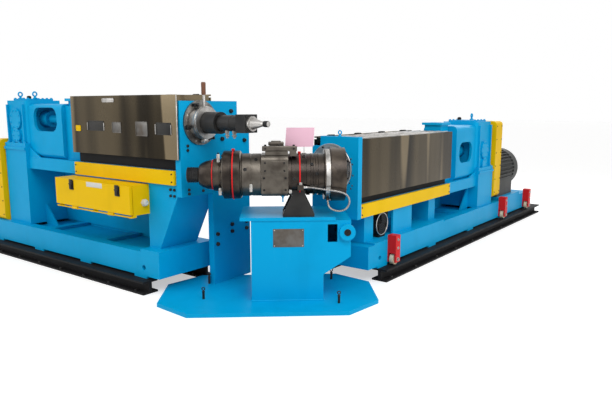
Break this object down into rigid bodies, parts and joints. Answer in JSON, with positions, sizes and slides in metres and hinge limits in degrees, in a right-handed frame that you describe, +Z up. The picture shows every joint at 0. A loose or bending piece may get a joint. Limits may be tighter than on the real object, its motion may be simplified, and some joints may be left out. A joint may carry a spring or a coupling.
{
  "type": "extrusion line",
  "caption": "Two screw extruders set square to each other feed one steel crosshead on a pedestal, with hinged barrel hoods, belt guards, motors and floor rails.",
  "frame": {"origin": "on the floor, under the crossing of the main extruder axis and the crosshead axis, on the underside of the floor plate", "axes": "+Y along the main extruder from the crosshead to its motor, -X along the auxiliary extruder to its motor, +Z up"},
  "size_m": [5.2186, 6.0949, 1.705],
  "materials": {
    "blue_paint": "gloss",
    "yellow_paint": "gloss",
    "hood_steel": "satin",
    "dark_steel": "satin",
    "bright_steel": "satin",
    "black_steel": "matte",
    "black_paint": "matte",
    "red_paint": "gloss",
    "pale_tread": "matte",
    "grey_paint": "satin"
  },
  "bodies": {
    "frame": {"aux_barrel": "dark_steel", "aux_barrel_disc": "bright_steel", "aux_barrel_tray": "black_paint", "aux_base": "blue_paint", "aux_bed": "blue_paint", "aux_belt_guard": "yellow_paint", "aux_clamp_ring": "bright_steel", "aux_column": "blue_paint", "aux_feed_throat": "blue_paint", "aux_front_plate": "blue_paint", "aux_gear_stand": "blue_paint", "aux_gearbox": "blue_paint", "aux_lantern": "blue_paint", "aux_motor": "grey_paint", "aux_nose_cone": "bright_steel", "aux_nose_pipe": "black_steel", "aux_rails": "black_paint", "aux_rear_panel": "hood_steel", "aux_side_bar": "yellow_paint", "aux_uprights": "blue_paint", "crosshead_barrel": "dark_steel", "crosshead_block": "dark_steel", "crosshead_body": "dark_steel", "crosshead_conduit": "bright_steel", "crosshead_cradle": "black_steel", "crosshead_nose_nut": "black_steel", "crosshead_rear_flange": "dark_steel", "floor_plate": "blue_paint", "junction_box": "yellow_paint", "junction_box_hinge": "yellow_paint", "main_barrel": "dark_steel", "main_barrel_disc": "bright_steel", "main_barrel_tray": "black_paint", "main_base": "blue_paint", "main_bed": "blue_paint", "main_belt_guard": "yellow_paint", "main_blower": "black_paint", "main_caster_forks": "red_paint", "main_feed_neck": "dark_steel", "main_feed_throat": "blue_paint", "main_front_plate": "blue_paint", "main_gear_stand": "blue_paint", "main_gearbox": "blue_paint", "main_lantern": "blue_paint", "main_legs": "blue_paint", "main_motor": "grey_paint", "main_rails": "black_paint", "main_rear_panel": "hood_steel", "main_side_bar": "yellow_paint", "pedestal": "blue_paint", "pedestal_table": "blue_paint"},
    "main_hood": {"main_hood": "hood_steel"},
    "aux_hood": {"aux_hood": "hood_steel"},
    "box_lid": {"junction_box_lid": "yellow_paint"},
    "wheel_front_near": {"main_wheel_front_near": "pale_tread"},
    "wheel_front_far": {"main_wheel_front_far": "pale_tread"},
    "wheel_middle_near": {"main_wheel_middle_near": "pale_tread"},
    "wheel_middle_far": {"main_wheel_middle_far": "pale_tread"},
    "wheel_rear_near": {"main_wheel_rear_near": "pale_tread"},
    "wheel_rear_far": {"main_wheel_rear_far": "pale_tread"}
  },
  "joints": [
    {"name": "main_hood_hinge", "type": "hinge", "parent": "frame", "child": "main_hood", "pos_m": [-0.222, 1.537, 1.253], "axis": [0, -1, 0], "range_deg": [0, 100]},
    {"name": "aux_hood_hinge", "type": "hinge", "parent": "frame", "child": "aux_hood", "pos_m": [-1.4545, -0.068, 1.607], "axis": [-1, 0, 0], "range_deg": [0, 100]},
    {"name": "box_lid_hinge", "type": "hinge", "parent": "frame", "child": "box_lid", "pos_m": [-1.6515, -0.643, 0.629], "axis": [1, 0, 0], "range_deg": [0, 100]},
    {"name": "wheel_front_near_spin", "type": "hinge", "parent": "frame", "child": "wheel_front_near", "pos_m": [0.342, 1.07, 0.165], "axis": [1, 0, 0], "continuous": true},
    {"name": "wheel_front_far_spin", "type": "hinge", "parent": "frame", "child": "wheel_front_far", "pos_m": [-0.342, 1.07, 0.165], "axis": [1, 0, 0], "continuous": true},
    {"name": "wheel_middle_near_spin", "type": "hinge", "parent": "frame", "child": "wheel_middle_near", "pos_m": [0.342, 3.895, 0.165], "axis": [1, 0, 0], "continuous": true},
    {"name": "wheel_middle_far_spin", "type": "hinge", "parent": "frame", "child": "wheel_middle_far", "pos_m": [-0.342, 3.895, 0.165], "axis": [1, 0, 0], "continuous": true},
    {"name": "wheel_rear_near_spin", "type": "hinge", "parent": "frame", "child": "wheel_rear_near", "pos_m": [0.342, 4.84, 0.165], "axis": [1, 0, 0], "continuous": true},
    {"name": "wheel_rear_far_spin", "type": "hinge", "parent": "frame", "child": "wheel_rear_far", "pos_m": [-0.342, 4.84, 0.165], "axis": [1, 0, 0], "continuous": true}
  ]
}
